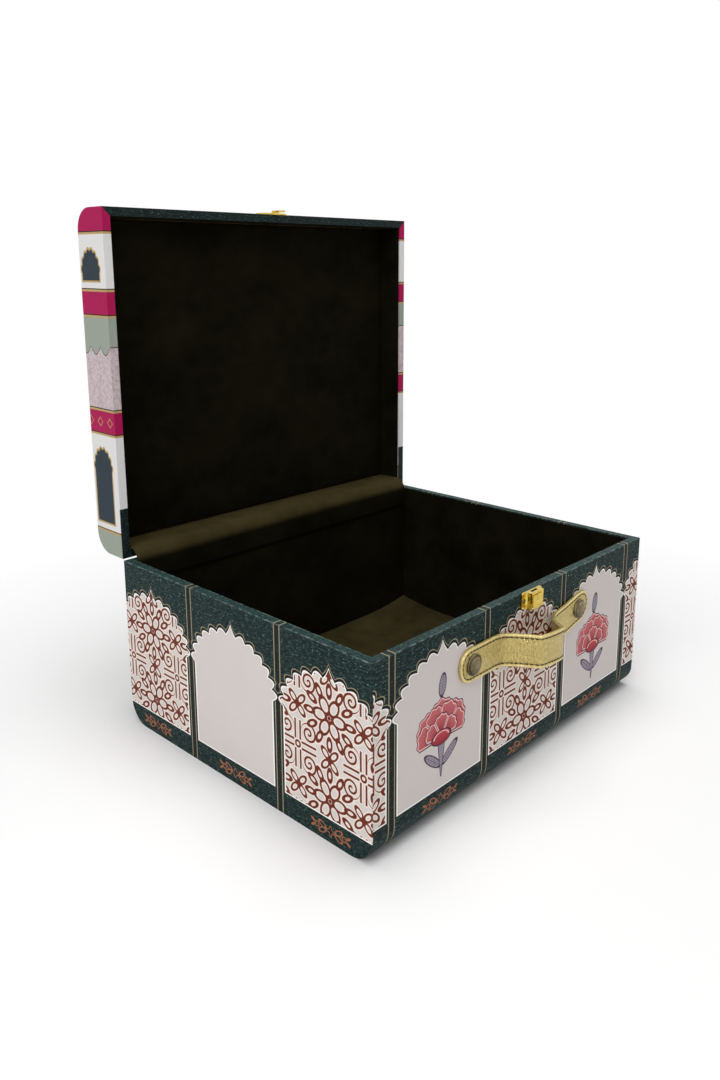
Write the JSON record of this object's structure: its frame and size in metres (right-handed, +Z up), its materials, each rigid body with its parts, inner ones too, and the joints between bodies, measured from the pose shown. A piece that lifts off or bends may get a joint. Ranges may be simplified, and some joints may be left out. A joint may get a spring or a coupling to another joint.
{
  "type": "storage trunk",
  "caption": "Small wooden storage trunk wrapped in printed leatherette, with a hinged lid standing open, suede lining, bowed strap handle and brass lock.",
  "frame": {"origin": "centre of the base's bottom face", "axes": "+X to the right along the front, +Y from the front with the handle to the hinged back, +Z up"},
  "size_m": [0.38, 0.3783, 0.4673],
  "materials": {
    "printed_wrap": "dark green printed leatherette, semi-matt",
    "board": "plain board, covered on all faces",
    "suede": "dark olive brown suede, matt with a pale sheen at a low angle",
    "strap": "crinkled gold leather, satin",
    "antique_brass": "antique brass, satin",
    "lock_brass": "polished pale brass"
  },
  "bodies": {
    "base": {"base_back_board": "board", "base_back_moulding": "board", "base_bottom_board": "board", "base_bottom_cover": "printed_wrap", "base_floor_pad": "suede", "base_front_board": "board", "base_front_moulding": "board", "base_left_board": "board", "base_lining_back": "suede", "base_lining_front": "suede", "base_lining_left": "suede", "base_lining_right": "suede", "base_right_board": "board", "base_wrap_back": "printed_wrap", "base_wrap_front": "printed_wrap", "base_wrap_left": "printed_wrap", "base_wrap_right": "printed_wrap", "handle_rivets": "antique_brass", "handle_strap_backing": "strap", "handle_strap_face": "strap", "handle_washers": "antique_brass", "hinge_gusset": "suede", "hinge_left_base_leaf": "antique_brass", "hinge_left_pin": "antique_brass", "hinge_right_base_leaf": "antique_brass", "hinge_right_pin": "antique_brass", "lock_case": "lock_brass"},
    "lid": {"hinge_left_lid_leaf": "antique_brass", "hinge_right_lid_leaf": "antique_brass", "lid_back_board": "board", "lid_back_moulding": "board", "lid_front_board": "board", "lid_front_moulding": "board", "lid_left_board": "board", "lid_lining_back": "suede", "lid_lining_front": "suede", "lid_lining_left": "suede", "lid_lining_right": "suede", "lid_right_board": "board", "lid_top_board": "board", "lid_top_cover": "printed_wrap", "lid_top_pad": "suede", "lid_wrap_back": "printed_wrap", "lid_wrap_front": "printed_wrap", "lid_wrap_left": "printed_wrap", "lid_wrap_right": "printed_wrap", "lock_strike": "lock_brass"},
    "lock_slide": {"lock_thumb_plate": "lock_brass", "lock_bolt": "lock_brass"}
  },
  "joints": [
    {"name": "lid_hinge", "type": "hinge", "parent": "base", "child": "lid", "pos_m": [0, 0.1543, 0.1558], "axis": [1, 0, 0], "range_deg": [0, 90], "deforming": ["hinge_gusset"]},
    {"name": "lock_slide", "type": "slide", "parent": "base", "child": "lock_slide", "axis": [1, 0, 0], "range_m": [0, 0.0024]}
  ]
}
